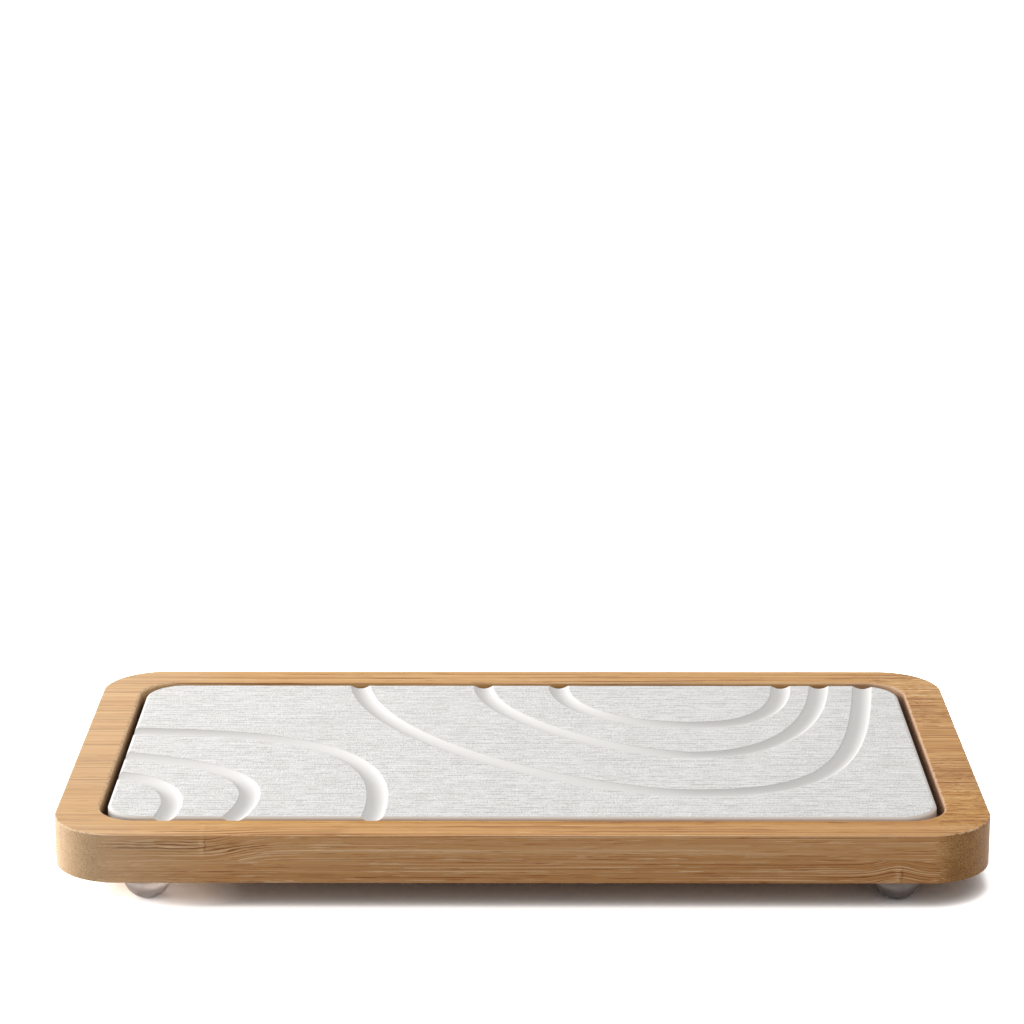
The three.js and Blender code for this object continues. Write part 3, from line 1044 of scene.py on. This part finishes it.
def stone_finish():
    """Pressed white stone: its flat face brushed along X in short thin scratches, its edges and grooves
    smooth, and its front edge painted with warm shade and the light that the bamboo beside it throws back."""
    finish = Finish("brushed_white_stone")
    place = finish.millimetres()
    flat = finish.step(finish.part_of(place, "Z"), FLAT_LEVEL)
    brushed = brushing(finish, place)
    brushed_tone = finish.times(finish.minus(brushed, BRUSHED_MIDDLE), flat)
    tone = finish.weighted((flat, FLAT_TONE), (brushed_tone, 1), base=STONE_TONE_BASE)
    color = finish.ramp(tone, STONE_TONES)
    upright = finish.part_of(finish.add("ShaderNodeNewGeometry", {}, "Normal"), "Z")
    # Painted warm shade and bounce light from the bamboo on the plate's front edge
    edge = finish.times(
        finish.step(finish.inside(place, PLATE_OUTLINE), BOUNCE_INSET), finish.step(upright, BOUNCE_TURN)
    )
    warm = finish.times(
        finish.step(finish.part_of(place, "X"), BOUNCE_ALONG),
        finish.step(finish.part_of(place, "Y"), BOUNCE_ACROSS, BOUNCE_SHARE),
    )
    finish.shade(
        Base_Color=finish.mix(finish.times(edge, warm), color, paint(STONE_PAINTED_BOUNCE)),
        Roughness=STONE_ROUGHNESS,
        IOR=STONE_IOR,
        Normal=finish.bump(finish.times(brushed, flat), STONE_BUMP, STONE_BUMP_STRENGTH),
    )
    return finish.material


# Silicone: its haze, and the painted light that lightens it along X towards the left
HAZE = (0.35, 0.35, 0.35)
SILICONE_TONES = [(0.1, "#9c8f89"), (0.8, "#fff0e8")]
PAINTED_LIGHT_ALONG = (60, -60)
PAINTED_LIGHT_TONE = (-0.6, 0.3)
SILICONE_ROUGHNESS = 0.24
HAZE_ROUGHNESS = 0.12
SILICONE_IOR = 1.41
SILICONE_CLEAR = 0.5

# Adhesive: its bubbles, by the distance from each bubble's middle
BUBBLES = (1.4, 1.4, 1.4)
BUBBLE_SPAN = (0.12, 0.24)
ADHESIVE_TONES = [(0.0, "#f2efe9"), (1.0, "#d6d1c7")]
ADHESIVE_ROUGHNESS = 0.45
ADHESIVE_IOR = 1.47
ADHESIVE_CLEAR = 0.4


def silicone_finish():
    """Milky soft silicone with a faint warm tint and a slightly uneven satin gloss, painted lighter towards
    the left where the lamp on the left lights it.
    """
    finish = Finish("milky_silicone")
    place = finish.millimetres()
    haze = finish.noise(place, HAZE, detail=2)
    # Painted light: the feet turn lighter towards the left, where the lamp on the left lights them
    lit_left = finish.step(finish.part_of(place, "X"), PAINTED_LIGHT_ALONG, PAINTED_LIGHT_TONE)
    finish.shade(
        Base_Color=finish.ramp(finish.math("ADD", haze, lit_left), SILICONE_TONES),
        Roughness=finish.weighted((haze, HAZE_ROUGHNESS), base=SILICONE_ROUGHNESS),
        IOR=SILICONE_IOR,
        Transmission_Weight=SILICONE_CLEAR,
    )
    return finish.material


def adhesive_finish():
    """Clear acrylic adhesive film with small bubbles."""
    finish = Finish("clear_adhesive")
    bubble = finish.step(finish.cells(finish.millimetres(), BUBBLES), BUBBLE_SPAN)
    finish.shade(
        Base_Color=finish.ramp(bubble, ADHESIVE_TONES),
        Roughness=ADHESIVE_ROUGHNESS,
        IOR=ADHESIVE_IOR,
        Transmission_Weight=ADHESIVE_CLEAR,
    )
    return finish.material


def strip_name(node):
    """Name of the strip that a node is, or that it is a block of."""
    return node.removesuffix("_left").removesuffix("_right")


def add_bamboo():
    """Both plies, strip by strip: the blocks of one strip share its finish."""
    for ply_name, ply in (("frame", frame_ply()), ("base", base_ply())):
        for order, name in enumerate(strip for strip in STRIPS if strip.startswith(ply_name)):
            nodes = [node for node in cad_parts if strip_name(node) == name]
            low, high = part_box(nodes[0])
            seams = [side / MM for side in (low.y, high.y) if is_seam(side)]
            finish = bamboo_finish(order + len(ply_name), name, seams)
            for node in nodes:
                stand_in(sawn_strip(ply, node), node, "tray", finish)


def add_feet():
    """The clear dome feet and the discs of adhesive that hold them."""
    silicone = silicone_finish()
    adhesive = adhesive_finish()
    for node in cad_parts:
        if node.startswith("foot_"):
            stand_in(dome_foot(node), node, "tray", silicone)
        if node.startswith("adhesive_"):
            stand_in(adhesive_disc(node), node, "tray", adhesive)


# Camera of the photograph's lower view
CAMERA_PLACE = (-0.56 * MM, -856.08 * MM, 319.17 * MM)
CAMERA_PITCH = math.radians(15.063)
CAMERA_YAW = math.radians(0.154)
CAMERA_LENS = 112.32
CAMERA_SENSOR = 36

# Studio: shares of the light on a level face, and where it comes from
OVERHEAD_SHARE = 0.30
OVERHEAD_SPREAD = math.radians(40)
OVERHEAD_TILT = math.radians(-14)
OVERHEAD_TURN = math.radians(25)
SKY_SHARE = 0.45
SKY_SEEN = 1
LEFT_LEVEL = 1.1
LEFT_PLACE = Vector((-0.8, 0.264, 0.242))
LEFT_SIZE = 0.44

# Floor: its size, how white it is where it is seen and in the light that it throws back, and in millimetres
# where a painted shadow dims it below the tray and painted light whitens it to the left of it
FLOOR_SIZE = 16
FLOOR_SEEN = 3.2
FLOOR_SEEN_PAINTED_SHADOW = 1.2
FLOOR_SEEN_PAINTED_LIGHT = 3.4
FLOOR_BOUNCE = 0.55
FLOOR_SHADOW_INSET = (7, -6)
FLOOR_LIT_ALONG = (-55, -100)


def add_camera():
    data = bpy.data.cameras.new("camera")
    data.lens = CAMERA_LENS
    data.sensor_width = CAMERA_SENSOR
    camera = bpy.data.objects.new("camera", data)
    camera.location = CAMERA_PLACE
    camera.rotation_euler = (math.pi / 2 - CAMERA_PITCH, 0, CAMERA_YAW)
    bpy.context.scene.collection.objects.link(camera)
    bpy.context.scene.camera = camera


def seen_directly(tree):
    """One for rays from the camera, and for those that gloss or glass sends on, else nought."""
    path = tree.nodes.new("ShaderNodeLightPath")
    total = path.outputs["Is Camera Ray"]
    for kind in ("Is Glossy Ray", "Is Transmission Ray"):
        either = tree.nodes.new("ShaderNodeMath")
        either.operation = "MAXIMUM"
        tree.links.new(total, either.inputs[0])
        tree.links.new(path.outputs[kind], either.inputs[1])
        total = either.outputs[0]
    return total


def add_lamps():
    """A broad lamp overhead, leaning to the back left, and a low square lamp on the left."""
    overhead = bpy.data.lights.new("overhead", "SUN")
    overhead.energy = math.pi * OVERHEAD_SHARE / math.cos(OVERHEAD_TILT)
    overhead.angle = OVERHEAD_SPREAD
    sun = bpy.data.objects.new("overhead", overhead)
    sun.rotation_euler = (OVERHEAD_TILT, 0, OVERHEAD_TURN)
    bpy.context.scene.collection.objects.link(sun)
    low = bpy.data.lights.new("left", "AREA")
    low.size = LEFT_SIZE
    low.energy = LEFT_LEVEL * math.pi ** 2 * LEFT_PLACE.length_squared
    softbox = bpy.data.objects.new("left", low)
    softbox.location = LEFT_PLACE
    softbox.rotation_euler = LEFT_PLACE.to_track_quat("Z", "Y").to_euler()
    bpy.context.scene.collection.objects.link(softbox)


def add_sky():
    """An even white sky, dimmer in the light that it gives than where it is seen."""
    world = bpy.data.worlds.new("studio")
    world.use_nodes = True
    bpy.context.scene.world = world
    tree = world.node_tree
    background = tree.nodes["Background"]
    background.inputs["Color"].default_value = (1, 1, 1, 1)
    level = tree.nodes.new("ShaderNodeMapRange")
    tree.links.new(seen_directly(tree), level.inputs[0])
    level.inputs[3].default_value = SKY_SHARE
    level.inputs[4].default_value = SKY_SEEN
    tree.links.new(level.outputs[0], background.inputs["Strength"])


def add_floor():
    """A plain floor: white where it is seen, with a painted shadow that dims it below the tray and painted
    light that whitens it to the left, and dimmer in what it throws back.
    """
    half = FLOOR_SIZE / 2
    corners = [(-half, -half, 0), (half, -half, 0), (half, half, 0), (-half, half, 0)]
    floor = shown("floor", new_mesh("floor", corners, [(0, 1, 2, 3)]))
    finish = Finish("white_floor")
    seen = seen_directly(finish.tree)
    place = finish.millimetres()
    # Painted shadow: the floor dims below the tray; painted light whitens it to the left of the tray
    beside = finish.step(finish.inside(place, TRAY_OUTLINE), FLOOR_SHADOW_INSET)
    pale = finish.step(beside, (0, 1), (FLOOR_SEEN_PAINTED_SHADOW, FLOOR_SEEN))
    left = finish.step(finish.part_of(place, "X"), FLOOR_LIT_ALONG, (0, FLOOR_SEEN_PAINTED_LIGHT))
    pale = finish.math("MAXIMUM", pale, left)
    level = finish.step(seen, (0, 1), (FLOOR_BOUNCE, pale))
    white = finish.add("ShaderNodeCombineXYZ", {0: level, 1: level, 2: level})
    matt = finish.add("ShaderNodeBsdfDiffuse", {"Color": white})
    output = finish.tree.nodes["Material Output"]
    finish.tree.links.new(matt, output.inputs["Surface"])
    finish.tree.nodes.remove(finish.shader)
    floor.data.materials.append(finish.material)


bpy.context.scene.view_settings.view_transform = "Standard"
add_camera()
add_lamps()
add_sky()
add_floor()
add_bamboo()
stand_in(carved_plate(), "stone_plate", "plate", stone_finish())
add_feet()
